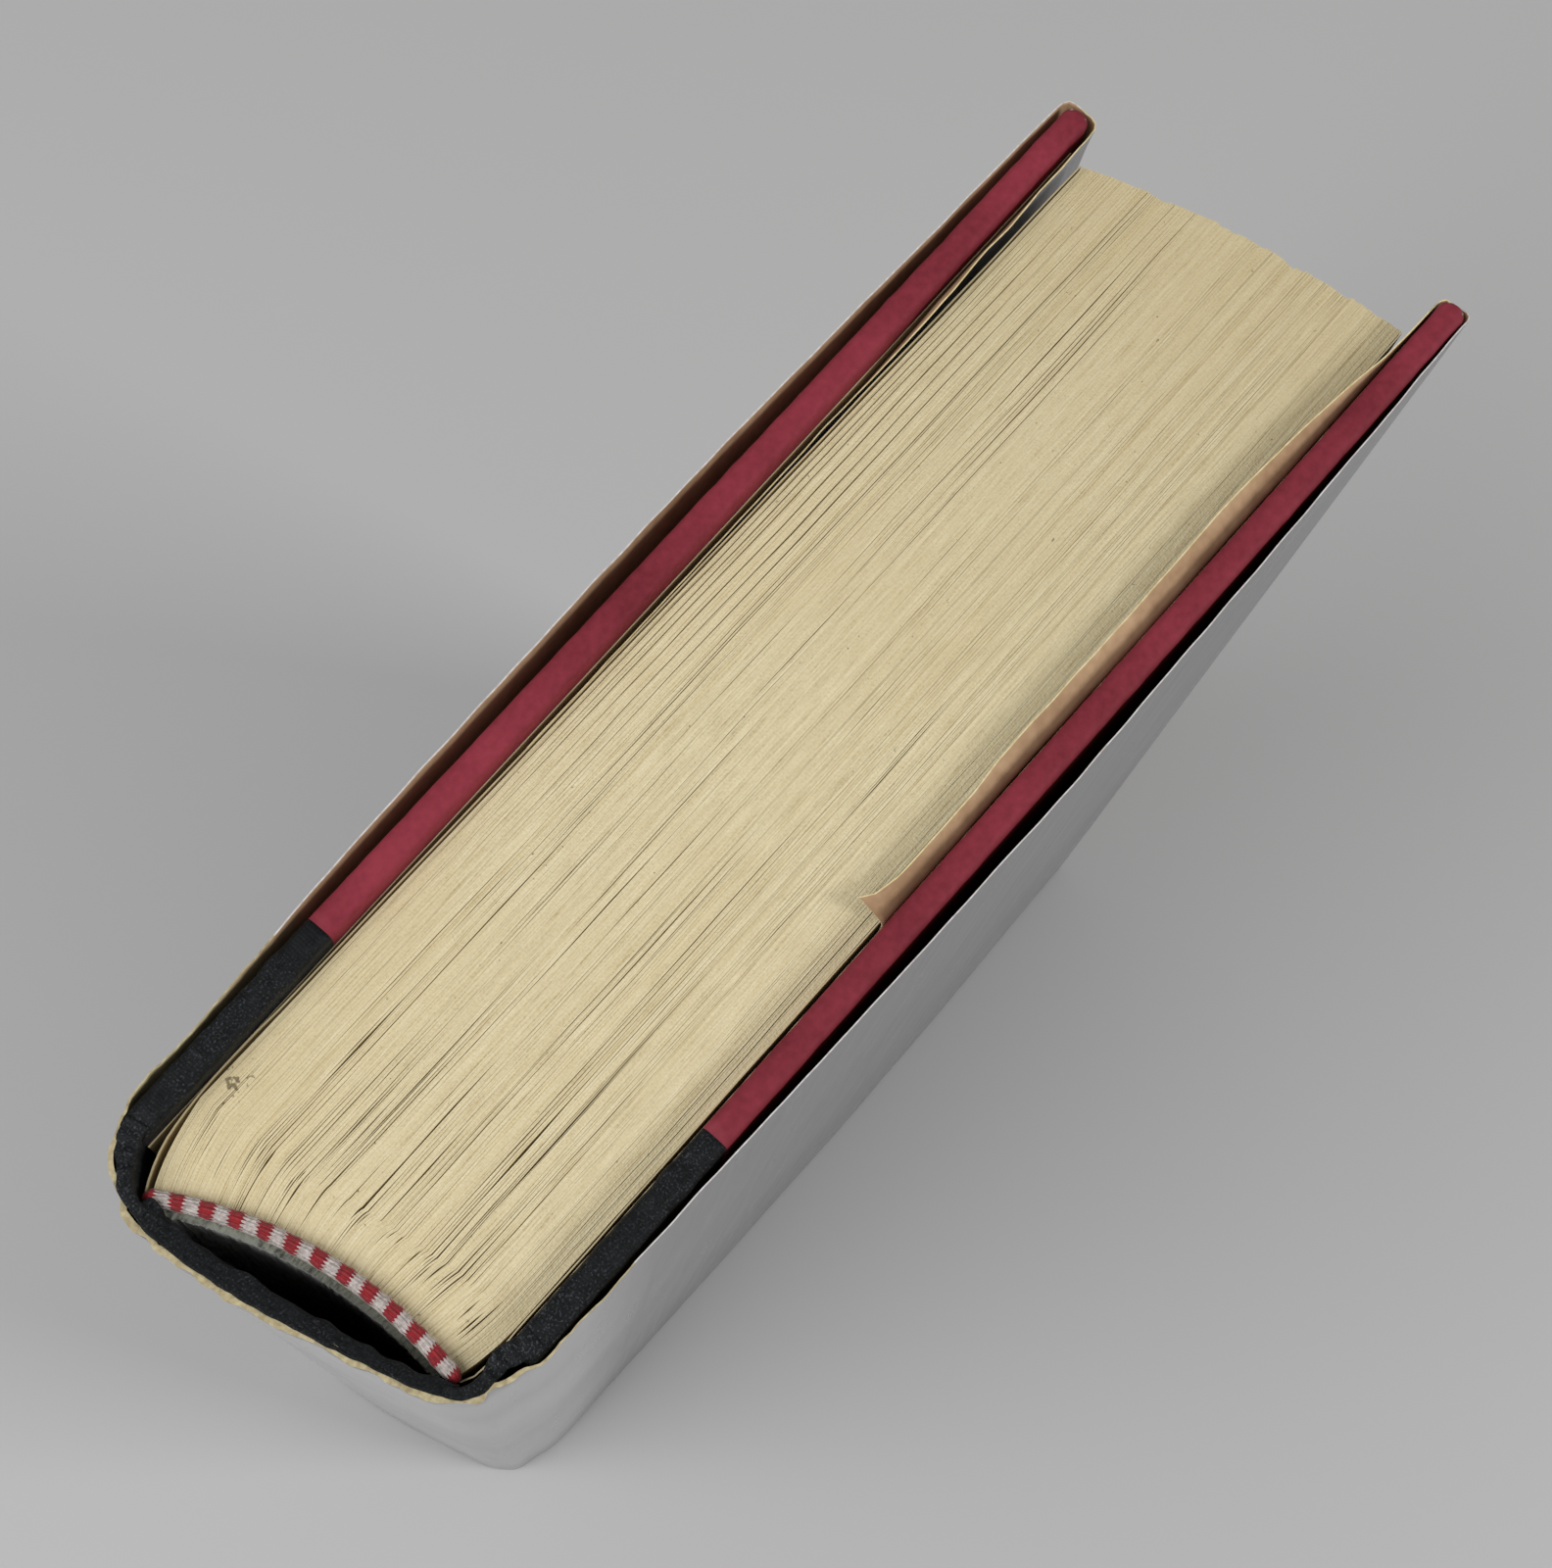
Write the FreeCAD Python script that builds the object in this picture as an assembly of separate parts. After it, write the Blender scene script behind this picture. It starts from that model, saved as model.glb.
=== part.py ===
# Hardback book standing on its tail edge: a block of leaves in a cloth and paper case, with a paper jacket.
# Plan view: X runs from the spine to the fore-edge, Y from the front cover to the back cover, and Z is up.
import FreeCAD, Part
import math
import os
from FreeCAD import Vector

os.makedirs("parts", exist_ok=True)

# Leaves. The back corners are where the outer leaves meet the glued back.
leaf_height = 235.0
leaf_width = 157.1
back_corner_in = 1.5
back_chord = 33.6
back_lean = 6.9
back_hollow = 3.1
block_at_spine = 38.8
block_at_fore = 40.27
fore_lean = 9.0
fore_bulge = 1.6
front_shoulder = 9.2
front_shoulder_pull = 5.5
back_shoulder = 10.7
back_shoulder_pull = 8.5

# Boards and what covers them
board_width = 155.5
board_core = 2.8
covering = 0.3
square = 3.15
corner_radius = 2.5
edge_radius = 1.0
core_chamfer = 0.5
cloth_on_board = 27.0
turn_in = 15.0
endpaper = 0.12
endpaper_margin = 3.5

# How each board lies beside the leaves
cover_gap = 0.3
front_gap_at_fore = 1.1
back_gap_at_fore = 2.15
front_setback = 7.45
back_setback = 3.7

# Spine of the case
cloth = 0.35
inlay = 0.6
inlay_inset = 0.8
spine_bulge = 2.0
front_corner_out = 0.7
front_corner_past = 2.1
back_corner_out = 2.1
back_corner_past = 1.1

# Joint between the spine and each board
hinge_setback = 3.2
hinge_depth = 0.6
board_lip = 2.4
spine_lip = 2.9

# Bands and lining on the back of the leaves
band_bead = 2.0
band_rise = 1.7
band_radius = 0.8
band_tape = 0.4
band_tape_height = 12.0
band_inset = 0.8
lining = 1.0
lining_inset = 2.5
tape_clearance = 0.05

# Jacket
jacket = 0.2
jacket_clearance = 0.1
jacket_short = 0.4
jacket_lip = 1.4
jacket_setback = 1.5
front_bow = 1.1
back_bow = 1.6
flap_length = 100.0
flap_lean = 2.2
flap_lift = 0.3
flap_fade = 4.0

cover_height = leaf_height + 2 * square
board_thickness = board_core + 2 * covering
block_top = cover_height - square


def toward(start, end, distance):
    """Point that lies the given distance from start on the way to end."""
    step = end - start
    return start + step * (distance / step.Length)


def sagged_arc(start, end, sag):
    """Arc from start to end whose middle lies sag to the right of the straight line."""
    run = end - start
    right = Vector(run.y, -run.x, 0)
    right.normalize()
    return Part.Arc(start, (start + end) * 0.5 + right * sag, end).toShape()


def trimmed(arc, inset):
    """The same arc, shortened by inset at both ends."""
    turn = inset / arc.Curve.Radius
    first, last = arc.ParameterRange
    return Part.ArcOfCircle(arc.Curve, first + turn, last - turn).toShape()


def ring_band(arc, near, far, low, high):
    """Upright sheet between two arcs that share a plan arc's centre, offsets positive toward the centre."""
    first, last = arc.ParameterRange
    rims = []
    for offset in (near, far):
        circle = arc.Curve.copy()
        circle.Radius = circle.Radius - offset
        rims.append(Part.ArcOfCircle(circle, first, last).toShape())
    near_rim, far_rim = rims
    starts = Part.makeLine(near_rim.firstVertex().Point, far_rim.firstVertex().Point)
    ends = Part.makeLine(near_rim.lastVertex().Point, far_rim.lastVertex().Point)
    face = Part.Face(Part.Wire([near_rim, ends, far_rim, starts]))
    return face.extrude(Vector(0, 0, high - low)).translated(Vector(0, 0, low))


def band(path, near, far, low, high):
    """Upright sheet between two offsets of a bent plan path, positive to the right of its run."""
    face = path.makeOffset2D(far, 0, True, True, False)
    if near:
        face = face.cut(path.makeOffset2D(near, 0, True, True, False))
    return face.extrude(Vector(0, 0, high - low)).translated(Vector(0, 0, low))


def block_of(u0, u1, v0, v1, z0, z1):
    """Plain box between two corners of a board's own frame."""
    return Part.makeBox(u1 - u0, v1 - v0, z1 - z0, Vector(u0, v0, z0))


def text_outline():
    """Plan outline of the leaves and the arc of their back."""
    front_back = Vector(0, back_corner_in, 0)
    back_back = Vector(-back_lean, back_corner_in + back_chord, 0)
    front_start = Vector(front_shoulder, 0, 0)
    front_fore = Vector(leaf_width, 0, 0)
    back_fore = Vector(leaf_width - fore_lean, block_at_fore, 0)
    back_end = Vector(-back_lean, block_at_spine, 0)
    back_start = toward(back_end, back_fore, back_shoulder)
    front_bend = Vector(front_shoulder - front_shoulder_pull, 0, 0)
    back_bend = toward(back_end, back_fore, back_shoulder - back_shoulder_pull)
    back_arc = sagged_arc(front_back, back_back, back_hollow)
    front_curve = Part.BezierCurve()
    front_curve.setPoles([front_start, front_bend, front_back])
    back_curve = Part.BezierCurve()
    back_curve.setPoles([back_back, back_bend, back_start])
    edges = [
        Part.makeLine(front_fore, front_start),
        front_curve.toShape(),
        back_arc,
        back_curve.toShape(),
        Part.makeLine(back_start, back_fore),
        sagged_arc(front_fore, back_fore, fore_bulge),
    ]
    return Part.Wire(Part.__sortEdges__(edges)), back_arc, back_start, back_fore


outline, back_arc, back_flank_start, back_flank_end = text_outline()
block_front_corner = back_arc.firstVertex().Point
block_back_corner = back_arc.lastVertex().Point
parts = {}

# Leaves, seen as one solid between the two squares
leaves = Part.Face(outline).extrude(Vector(0, 0, leaf_height))
parts["text_block"] = leaves.translated(Vector(0, 0, square))


def flat_sheet(start, end, thickness):
    """Upright endpaper on the left of a straight plan line, as tall as the leaves."""
    run = end - start
    across = Vector(-run.y, run.x, 0) * (thickness / run.Length)
    outline = Part.makePolygon([start, end, end + across, start + across, start])
    return Part.Face(outline).extrude(Vector(0, 0, leaf_height)).translated(Vector(0, 0, square))


# Free endpapers, flat on the outer leaves from the shoulder to the fore-edge
parts["front_flyleaf"] = flat_sheet(Vector(leaf_width, 0, 0), Vector(front_shoulder, 0, 0), endpaper)
parts["back_flyleaf"] = flat_sheet(back_flank_start, back_flank_end, endpaper)


def end_band(base, up):
    """Bead seated on the edge of the leaves, with its tape glued down their back."""
    arc = trimmed(back_arc, band_inset)
    bead_top = base + up * band_rise
    tape_end = base - up * band_tape_height
    bead = ring_band(arc, band_tape - band_bead, 0, min(base, bead_top), max(base, bead_top))
    rim = ring_band(arc, 0, band_tape, min(tape_end, bead_top), max(tape_end, bead_top))
    solid = bead.fuse(rim).removeSplitter()
    rounded = [e for e in solid.Edges if e.Length > 2 * band_bead and abs(e.CenterOfMass.z - bead_top) < 0.01]
    return solid.makeFillet(band_radius, rounded)


parts["headband"] = end_band(block_top, 1)
parts["tailband"] = end_band(square, -1)

# Crash and paper lining on the back, with a recess at each end for the band's tape
lining_arc = trimmed(back_arc, lining_inset)
lining_solid = ring_band(lining_arc, 0, lining, square, block_top)
recess_depth = band_tape + tape_clearance
recess_height = band_tape_height + tape_clearance
for low in (square, block_top - recess_height):
    lining_solid = lining_solid.cut(ring_band(lining_arc, 0, recess_depth, low, low + recess_height))
parts["spine_lining"] = lining_solid

# Frames of the two boards: the outer corner on the spine side, and the angle to the X axis
flank_run = leaf_width - front_shoulder
front_splay = -math.degrees(math.atan2(front_gap_at_fore - cover_gap, flank_run))
flank_angle = math.degrees(math.atan2(block_at_fore - block_at_spine, leaf_width - fore_lean + back_lean))
back_splay = flank_angle + math.degrees(math.atan2(back_gap_at_fore - cover_gap, flank_run))
board_stack = cover_gap + 2 * endpaper + board_thickness
front_corner = Vector(block_front_corner.x + front_setback, -board_stack, 0)
back_corner = Vector(block_back_corner.x + back_setback, block_at_spine + board_stack, 0)


def place(shape, side):
    """Put a shape made in a board's own frame (u to the fore-edge, v inward) beside the leaves."""
    if side == "front":
        return shape.rotated(Vector(0, 0, 0), Vector(0, 0, 1), front_splay).translated(front_corner)
    flipped = shape.mirror(Vector(0, 0, 0), Vector(0, 1, 0))
    return flipped.rotated(Vector(0, 0, 0), Vector(0, 0, 1), back_splay).translated(back_corner)


def slab(inset):
    """Board blank with rounded fore corners, shrunk by inset on its covered sides."""
    u_end = board_width - inset
    z_low, z_high = inset, cover_height - inset
    corner = corner_radius - inset
    arc_mid = corner * (1 - math.sqrt(0.5))
    low_start = Vector(u_end - corner, inset, z_low)
    low_mid = Vector(u_end - arc_mid, inset, z_low + arc_mid)
    low_end = Vector(u_end, inset, z_low + corner)
    high_start = Vector(u_end, inset, z_high - corner)
    high_mid = Vector(u_end - arc_mid, inset, z_high - arc_mid)
    high_end = Vector(u_end - corner, inset, z_high)
    edges = [
        Part.makeLine(Vector(0, inset, z_low), low_start),
        Part.Arc(low_start, low_mid, low_end).toShape(),
        Part.makeLine(low_end, high_start),
        Part.Arc(high_start, high_mid, high_end).toShape(),
        Part.makeLine(high_end, Vector(0, inset, z_high)),
        Part.makeLine(Vector(0, inset, z_high), Vector(0, inset, z_low)),
    ]
    depth = board_thickness - 2 * inset
    solid = Part.Face(Part.Wire(edges)).extrude(Vector(0, depth, 0))
    rims = [e for e in solid.Edges if e.CenterOfMass.x > 0.01 and e.BoundBox.YLength < 0.01]
    return solid, rims


def quarter_turn(centre, radius, start_deg):
    """Arc of a quarter turn to the left, from the given direction."""
    points = [
        centre + Vector(math.cos(math.radians(a)), math.sin(math.radians(a)), 0) * radius
        for a in (start_deg, start_deg + 45, start_deg + 90)
    ]
    return Part.Arc(*points).toShape()


def jacket_panel(bow, lean):
    """Jacket over a board's outer face, round its fore-edge and back inside as the flap."""
    inner = board_thickness + endpaper + jacket_clearance
    radius = edge_radius + jacket_clearance
    tip = board_width + jacket_clearance
    outer_turn = quarter_turn(Vector(tip - radius, radius - jacket_clearance, 0), radius, -90)
    inner_turn = quarter_turn(Vector(tip - radius, inner - radius, 0), radius, 0)
    panel_start = Vector(-jacket_setback, -jacket_clearance, 0)
    flap_start = inner_turn.lastVertex().Point
    flap_end = Vector(tip - flap_length, inner, 0)
    path = Part.Wire([
        sagged_arc(panel_start, outer_turn.firstVertex().Point, bow),
        outer_turn,
        Part.makeLine(outer_turn.lastVertex().Point, inner_turn.firstVertex().Point),
        inner_turn,
        Part.makeLine(flap_start, flap_end),
    ])
    top = cover_height - jacket_short
    solid = band(path, 0, jacket, jacket_short, top)
    if lean:
        bend = block_top + flap_lift
        lean_end = flap_start.x - flap_fade
        solid = solid.cut(block_of(flap_end.x, lean_end, inner, inner + jacket, bend, top))
        sections = []
        for u, shift in ((flap_end.x, lean), (lean_end, 0)):
            corners = [
                Vector(u, inner, bend),
                Vector(u, inner + jacket, bend),
                Vector(u, inner + jacket + shift, top),
                Vector(u, inner + shift, top),
            ]
            sections.append(Part.makePolygon(corners + corners[:1]))
        solid = solid.fuse(Part.makeLoft(sections, True, True))
    return solid


def cover(side, bow, lean):
    """Board, its cloth and paper, the pastedown and the jacket panel of one cover."""
    core, core_rims = slab(covering)
    core = core.makeChamfer(core_chamfer, core_rims)
    envelope, rims = slab(0)
    envelope = envelope.makeFillet(edge_radius, rims)
    reach = board_width + cover_height
    window = block_of(-reach, board_width - turn_in, board_thickness - covering, reach,
                      turn_in, cover_height - turn_in)
    wrap = envelope.cut(core).cut(window)
    split = block_of(-reach, cloth_on_board, -reach, reach, -reach, reach)
    lip = block_of(-board_lip, 0, 0, covering, 0, cover_height)
    pastedown = block_of(0, board_width - endpaper_margin, board_thickness, board_thickness + endpaper,
                         endpaper_margin, cover_height - endpaper_margin)
    parts[side + "_board"] = place(core, side)
    parts[side + "_cloth"] = place(wrap.common(split).fuse(lip).removeSplitter(), side)
    parts[side + "_paper"] = place(wrap.cut(split), side)
    parts[side + "_pastedown"] = place(pastedown, side)
    parts["jacket_" + side] = place(jacket_panel(bow, lean), side)


cover("front", front_bow, flap_lean)
cover("back", back_bow, 0)

# Hinge lines of the two covers, inside the cloth of each joint
hinge_mark = Part.Vertex(-hinge_setback, hinge_depth, 0)
front_hinge = place(hinge_mark, "front").Point
back_hinge = place(hinge_mark, "back").Point

# Case spine: its outer corners stand off the back of the leaves, and it bows away from them
front_edge = block_front_corner + Vector(-front_corner_out, -front_corner_past, 0)
back_edge = block_back_corner + Vector(-back_corner_out, back_corner_past, 0)
spine_arc = sagged_arc(front_edge, back_edge, -spine_bulge)
spine_path = Part.Wire([
    Part.makeLine(toward(front_edge, front_hinge, spine_lip), front_edge),
    spine_arc,
    Part.makeLine(back_edge, toward(back_edge, back_hinge, spine_lip)),
])
inlay_arc = trimmed(spine_arc, inlay_inset)
layers = cloth + inlay + cloth
hem = ring_band(spine_arc, 0, layers, 0, cover_height)
hem = hem.cut(ring_band(inlay_arc, cloth, cloth + inlay, cloth, cover_height - cloth))
hem = hem.cut(ring_band(spine_arc, cloth + inlay, layers, turn_in, cover_height - turn_in))
parts["spine_inlay"] = ring_band(inlay_arc, cloth, cloth + inlay, cloth, cover_height - cloth)
parts["spine_cloth"] = hem.fuse(band(spine_path, 0, cloth, 0, cover_height)).removeSplitter()

# Jacket over the spine, stopped short of the hinge lines so that the covers can swing flat
jacket_path = Part.Wire([
    Part.makeLine(toward(front_edge, front_hinge, jacket_lip), front_edge),
    spine_arc,
    Part.makeLine(back_edge, toward(back_edge, back_hinge, jacket_lip)),
])
parts["jacket_spine"] = band(jacket_path, -jacket_clearance, -jacket_clearance - jacket,
                             jacket_short, cover_height - jacket_short)

# The origin goes to the middle of the whole book's footprint, on the surface that it stands on
whole = Part.makeCompound(list(parts.values())).optimalBoundingBox(False, False)
origin = Vector((whole.XMin + whole.XMax) / 2, (whole.YMin + whole.YMax) / 2, 0)
for name, shape in parts.items():
    solid = shape.translated(-origin)
    solid = solid.Solids[0] if len(solid.Solids) == 1 else solid
    solid.exportStep("parts/" + name + ".step")
    print(name, len(solid.Solids), solid.isValid(), round(solid.Volume, 1))

print("box", round(whole.XLength, 3), round(whole.YLength, 3), round(whole.ZLength, 3))
print("front hinge", front_hinge - origin, "back hinge", back_hinge - origin)
print("front board corner", front_corner - origin, "splay", front_splay)
print("back board corner", back_corner - origin, "splay", back_splay)
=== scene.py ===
import math
import random

import bmesh
import bpy
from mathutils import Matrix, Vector, noise


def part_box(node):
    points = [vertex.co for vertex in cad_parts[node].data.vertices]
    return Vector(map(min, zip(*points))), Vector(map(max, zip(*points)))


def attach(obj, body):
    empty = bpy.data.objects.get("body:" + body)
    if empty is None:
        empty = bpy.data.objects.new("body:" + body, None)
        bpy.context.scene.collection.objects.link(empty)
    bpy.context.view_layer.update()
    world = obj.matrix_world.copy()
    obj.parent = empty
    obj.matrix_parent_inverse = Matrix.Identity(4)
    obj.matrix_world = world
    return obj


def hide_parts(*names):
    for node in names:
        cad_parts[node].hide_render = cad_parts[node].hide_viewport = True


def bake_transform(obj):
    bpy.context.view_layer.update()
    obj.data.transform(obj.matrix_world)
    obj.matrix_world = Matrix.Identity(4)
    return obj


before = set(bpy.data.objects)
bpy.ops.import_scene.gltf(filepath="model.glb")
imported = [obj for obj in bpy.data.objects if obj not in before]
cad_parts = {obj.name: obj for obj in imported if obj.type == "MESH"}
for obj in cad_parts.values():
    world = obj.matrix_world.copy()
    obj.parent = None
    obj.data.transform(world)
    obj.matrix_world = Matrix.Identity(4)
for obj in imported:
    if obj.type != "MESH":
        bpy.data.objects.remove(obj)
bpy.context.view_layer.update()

# Leaves: bulky cream book paper, folded in gatherings, glued along a hollow back and bent by a leaning spine.
# The head is cut smooth and shows every leaf's edge, with slits where leaves spring apart. The fore-edge is
# left rough, so the leaves end unevenly there.
mm = 0.001
leaves_low, leaves_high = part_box("text_block")
back_lean = 6.9 * mm
corner_x, corner_y = leaves_low.x + back_lean, leaves_low.y
back_from, back_to, back_hollow = Vector((0, 1.5)), Vector((-6.9, 35.1)), 3.1
shoulder_from, shoulder_to = Vector((9.2, 0)), Vector((3.8, 38.9))
fore_from, fore_to, fore_bulge = Vector((157.1, 0)), Vector((148.1, 40.27)), 1.6
head, tail = leaves_high.z / mm, leaves_low.z / mm
sheaves = 132
bend_steps, flank_steps = 9, 22
rows_down = (0.0, 0.22, 3.0, 12.0)


def place(x, y, z):
    """Row frame point, in metres, of a point given in millimetres from the leaves' front spine corner."""
    return Vector((corner_x + x * mm, corner_y + y * mm, z * mm))


def wave(x, y, z=0.0):
    """Smooth noise between about -1 and 1 at a place."""
    return noise.noise(Vector((x, y, z)))


def bowed(start, end, rise, t):
    """Point at share t of a shallow arc from start to end that rises to the right of the way it runs."""
    run = end - start
    right = Vector((run.y, -run.x)).normalized()
    return start.lerp(end, t) + right * (rise * 4 * t * (1 - t))


def leaf_path(share):
    """Plan points of the leaf that lies at the given share of the block, 0 at the front and 1 at the back."""
    root = bowed(back_from, back_to, back_hollow, share)
    turn = math.radians(10 + 16 * (2 * share - 1) - 14 * (1 - share) ** 6 + 10 * share ** 6)
    bend = root + Vector((math.cos(turn), math.sin(turn))) * (4.2 + 1.6 * math.sin(math.pi * share))
    flank = shoulder_from.lerp(shoulder_to, share)
    end = bowed(fore_from, fore_to, fore_bulge, share)
    points = []
    for k in range(bend_steps):
        t = k / bend_steps
        points.append(root * (1 - t) ** 2 + bend * (2 * t * (1 - t)) + flank * t ** 2)
    return points + [flank.lerp(end, k / flank_steps) for k in range(flank_steps + 1)]


def slit_plan(draw, edges):
    """Slits between sheaves: edge number, then middle, half length and width in millimetres."""
    slits = [(round(share * edges), along, half, wide) for share, along, half, wide in seen_slits]
    for count, middle, spread, low, high, half, wide in scattered_slits:
        for _ in range(count):
            along = draw.gauss(middle, spread)
            edge = round(draw.uniform(low, high) * edges)
            slits.append((edge, along, draw.uniform(*half), draw.uniform(*wide)))
    return slits


# Long slits where the photograph shows them: share of the block, middle, half length and width
seen_slits = ((0.60, 24, 15, 0.13), (0.575, 23, 10, 0.09), (0.34, 53, 18, 0.11), (0.30, 24, 12, 0.12),
              (0.255, 29, 8, 0.09), (0.645, 85, 9, 0.10), (0.61, 120, 28, 0.08), (0.645, 130, 20, 0.09),
              (0.665, 132, 18, 0.08), (0.70, 136, 14, 0.08), (0.74, 120, 30, 0.08), (0.80, 105, 45, 0.10),
              (0.85, 102, 50, 0.12), (0.88, 98, 52, 0.10), (0.905, 105, 50, 0.13), (0.93, 95, 52, 0.11),
              (0.955, 100, 52, 0.13), (0.975, 98, 56, 0.12), (0.26, 7.5, 3.0, 0.18), (0.22, 9.0, 3.5, 0.14),
              (0.18, 11.0, 3.0, 0.13), (0.30, 10.0, 3.0, 0.12), (0.10, 5.0, 1.8, 0.20), (0.13, 6.0, 1.5, 0.16),
              (0.03, 60, 55, 0.10), (0.05, 40, 36, 0.08))
# Scattered ones: how many, middle and spread along the leaf, share from and to, half length, width
scattered_slits = ((54, 14, 7, 0.16, 0.80, (1.5, 6.0), (0.06, 0.17)),
                   (44, 36, 18, 0.25, 0.85, (4.0, 18.0), (0.04, 0.12)),
                   (14, 108, 24, 0.60, 0.82, (10.0, 34.0), (0.04, 0.09)),
                   (30, 85, 40, 0.05, 0.95, (3.0, 10.0), (0.03, 0.07)),
                   (50, 8, 4, 0.08, 0.96, (1.0, 3.5), (0.05, 0.13)))
draw = random.Random(7)
thick = [draw.uniform(0.55, 1.5) for _ in range(sheaves)]
edge_share = [sum(thick[:i]) / sum(thick) for i in range(sheaves + 1)]
slits = slit_plan(draw, sheaves)
slits_at = {}
for edge, along, half, wide in slits:
    slits_at.setdefault(edge, []).append((along, half, wide))

sheaf = bmesh.new()
bmesh.ops.create_cube(sheaf, size=1.0)
long_edges = [e for e in sheaf.edges if abs(e.verts[0].co.x - e.verts[1].co.x) > 0.5]
bmesh.ops.subdivide_edges(sheaf, edges=long_edges, cuts=bend_steps + flank_steps - 1)
tall_edges = [e for e in sheaf.edges if abs(e.verts[0].co.z - e.verts[1].co.z) > 0.5]
bmesh.ops.subdivide_edges(sheaf, edges=tall_edges, cuts=2 * len(rows_down) - 2)
sheaf_mesh = bpy.data.meshes.new("sheaf")
sheaf.to_mesh(sheaf_mesh)
sheaf.free()

paths = [leaf_path(share) for share in edge_share]
lengths = [0.0]
for a, b in zip(paths[0], paths[0][1:]):
    lengths.append(lengths[-1] + (b - a).length)
heights = [head - down for down in rows_down] + [tail + down for down in reversed(rows_down)]
groove = (1.0, 0.15, 0.0, 0.0, 0.0, 0.0, 0.15, 1.0)
slit_depth = (1.0, 0.95, 0.5, 0.0, 0.0, 0.5, 0.95, 1.0)
leaves = bmesh.new()
along_layer = leaves.verts.layers.float.new("along")
across_layer = leaves.verts.layers.float.new("across")
shade_layer = leaves.verts.layers.float.new("shade")
reach = 0.0
for i in range(sheaves):
    first = len(leaves.verts)
    leaves.from_mesh(sheaf_mesh)
    leaves.verts.ensure_lookup_table()
    shade = draw.random()
    drop = draw.uniform(0.0, 0.035) + (0.10 if draw.random() < 0.05 else 0.0)
    notch = draw.uniform(0.0, 0.022) + (0.04 if draw.random() < 0.16 else 0.0)
    reach = 0.8 * reach + draw.uniform(-0.09, 0.09)
    reach += draw.uniform(-0.5, 0.25) if draw.random() < 0.08 else 0.0
    for vert in leaves.verts[first:]:
        k = round((vert.co.x + 0.5) * (bend_steps + flank_steps))
        side = 1 if vert.co.y > 0 else 0
        row = round((0.5 - vert.co.z) * (2 * len(rows_down) - 1))
        x, y = paths[i + side][k]
        s = lengths[k]
        pull = groove[row] * notch * (0.5 + wave(s * 0.09, i + side, 3.0))
        for along, half, wide in slits_at.get(i + side, ()):
            near = 1 - ((s - along) / half) ** 2
            if near > 0:
                pull += 0.5 * wide * near * slit_depth[row]
        y += -pull if side else pull
        y += 0.16 * wave(s * 0.035, edge_share[i + side] * 9) * min(1.0, s / 8)
        if 0 < i + side < sheaves:
            y += 0.10 * wave(s * 0.11, edge_share[i + side] * 40, 5.0)
        if k == bend_steps + flank_steps:
            x += max(-0.9, min(0.3, reach + 0.12 * wave(heights[row] * 0.05, i, 9.0)))
        fall = drop if row in (0, 2 * len(rows_down) - 1) else 0.0
        z = heights[row] - fall if row < len(rows_down) else heights[row] + fall
        vert.co = place(x, y, z)
        vert[along_layer] = s + heights[row]
        vert[across_layer] = edge_share[i + side] * 40
        vert[shade_layer] = shade
bpy.data.meshes.remove(sheaf_mesh)


def linear(hex_colour):
    """Linear colour with full alpha of an sRGB hex colour."""
    parts = [int(hex_colour[i:i + 2], 16) / 255 for i in (0, 2, 4)]
    return tuple(c / 12.92 if c <= 0.04045 else ((c + 0.055) / 1.055) ** 2.4 for c in parts) + (1.0,)


def add_node(tree, kind, inputs=(), stops=(), **settings):
    """One shader node with its settings. A node given as an input stands for its first output."""
    node = tree.nodes.new("ShaderNode" + kind) if isinstance(kind, str) else kind
    for name, value in settings.items():
        setattr(node, name, value)
    for name, value in dict(inputs).items():
        if isinstance(value, bpy.types.Node):
            value = value.outputs[0]
        if isinstance(value, bpy.types.NodeSocket):
            tree.links.new(value, node.inputs[name])
        else:
            node.inputs[name].default_value = value
    for i, (position, colour) in enumerate(stops):
        stop = node.color_ramp.elements[i] if i < 2 else node.color_ramp.elements.new(position)
        stop.position = position
        stop.color = linear(colour)
    return node


def start_material(name, kept_place=""):
    """New material, its tree, its shader, and its Object coordinates or the attribute kept in their stead."""
    material = bpy.data.materials.new(name)
    material.use_nodes = True
    tree = material.node_tree
    if kept_place:
        where = add_node(tree, "Attribute", attribute_name=kept_place).outputs["Vector"]
    else:
        where = add_node(tree, "TexCoord").outputs["Object"]
    return material, tree, tree.nodes["Principled BSDF"], where


def make_piece(name, mesh_data, materials):
    """Object in the scene from a finished bmesh, with its materials, at the origin."""
    mesh = bpy.data.meshes.new(name)
    mesh_data.to_mesh(mesh)
    mesh_data.free()
    for material in materials:
        mesh.materials.append(material)
    piece = bpy.data.objects.new(name, mesh)
    bpy.context.scene.collection.objects.link(piece)
    return piece


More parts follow.
